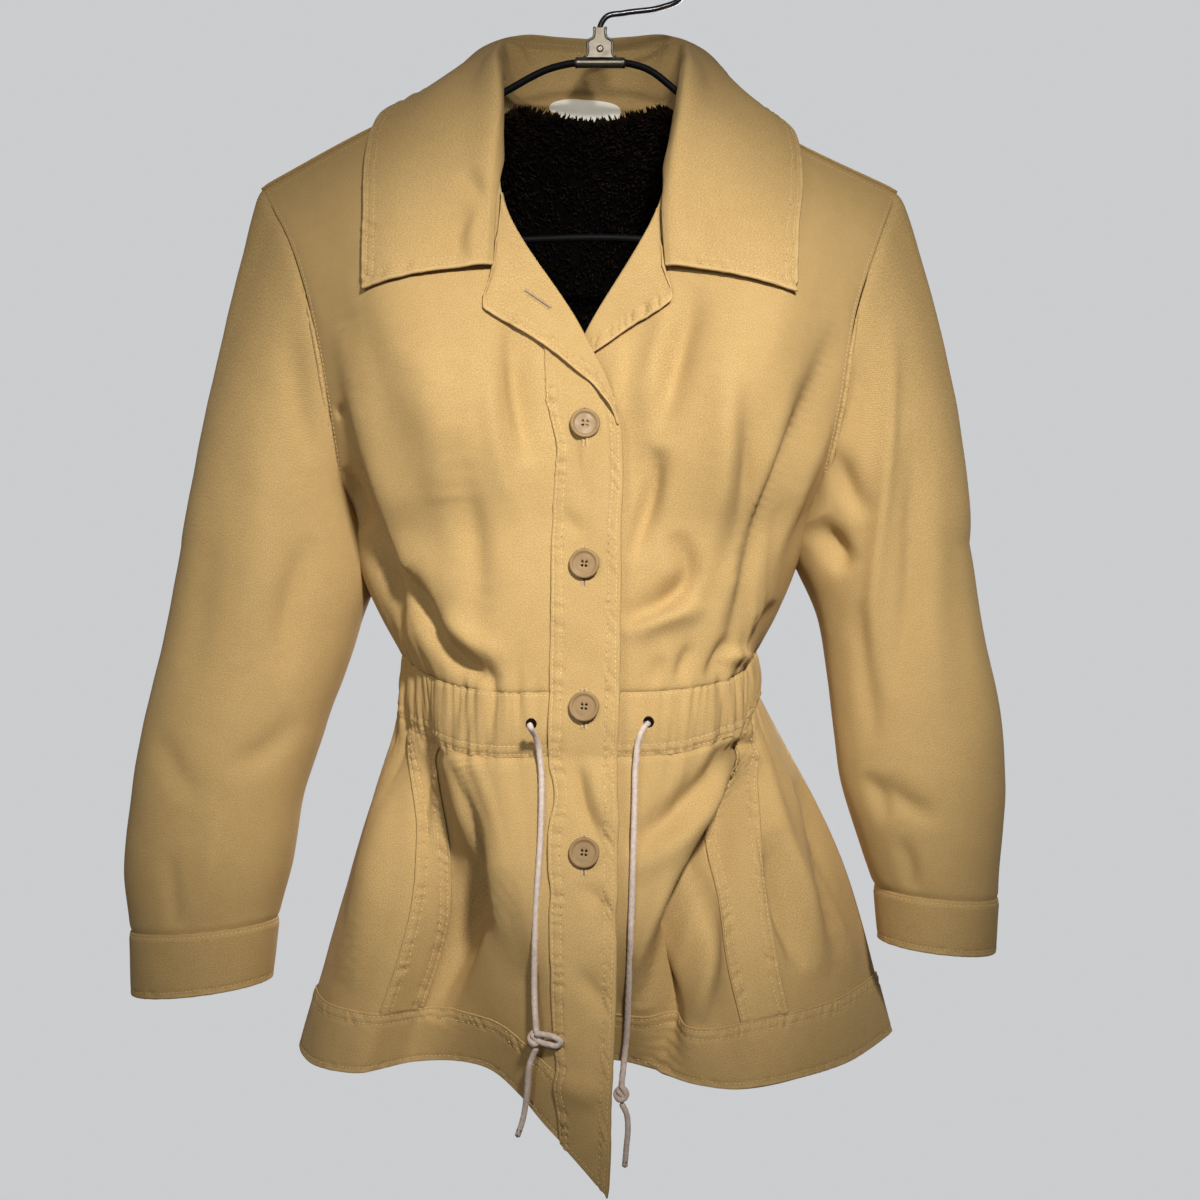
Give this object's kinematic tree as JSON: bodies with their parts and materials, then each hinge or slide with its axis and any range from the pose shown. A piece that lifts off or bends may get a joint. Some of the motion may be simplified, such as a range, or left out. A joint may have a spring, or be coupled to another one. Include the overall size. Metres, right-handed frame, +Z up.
{
  "type": "pile-lined drawstring coat on a clothes hanger",
  "caption": "Hip-length tan cotton coat with a dark pile lining, wide fold-over collar, buttoned front and drawstring waist, hanging on a black hanger with a nickel clip.",
  "frame": {"origin": "inside of the hook's crown, where the hanger hangs on a rail", "axes": "+Z up, +X to the right of a viewer who faces the coat's front, +Y from the front to the back of the coat"},
  "size_m": [0.606, 0.3005, 0.8391],
  "materials": {
    "tan_twill": "matt brushed cotton twill",
    "dark_pile": "curly pile",
    "label_cloth": "matt woven tape",
    "tan_button": "satin",
    "pale_cord": "braided cotton",
    "black_tube": "satin black",
    "dark_chrome": "black chrome",
    "nickel": "satin nickel"
  },
  "bodies": {
    "root": {"back": "tan_twill", "front_right": "tan_twill", "front_left": "tan_twill", "casing_right": "tan_twill", "casing_left": "tan_twill", "casing_back": "tan_twill", "skirt_right": "tan_twill", "skirt_left": "tan_twill", "skirt_back": "tan_twill", "hem_right": "tan_twill", "hem_left": "tan_twill", "hem_back": "tan_twill", "welt_right": "tan_twill", "welt_left": "tan_twill", "placket": "tan_twill", "sleeve_right": "tan_twill", "sleeve_left": "tan_twill", "cuff_right": "tan_twill", "cuff_left": "tan_twill", "collar": "tan_twill", "lapel_right": "tan_twill", "lapel_left": "tan_twill", "lining_back": "dark_pile", "label": "label_cloth", "button_1": "tan_button", "button_2": "tan_button", "button_3": "tan_button", "button_4": "tan_button", "cord_right": "pale_cord", "cord_left": "pale_cord", "knot_right": "pale_cord", "knot_left": "pale_cord", "tail_right": "pale_cord", "tail_left": "pale_cord", "hanger_frame": "black_tube", "hanger_hook": "dark_chrome", "hanger_clip": "nickel", "hanger_rivet": "nickel"}
  },
  "joints": []
}
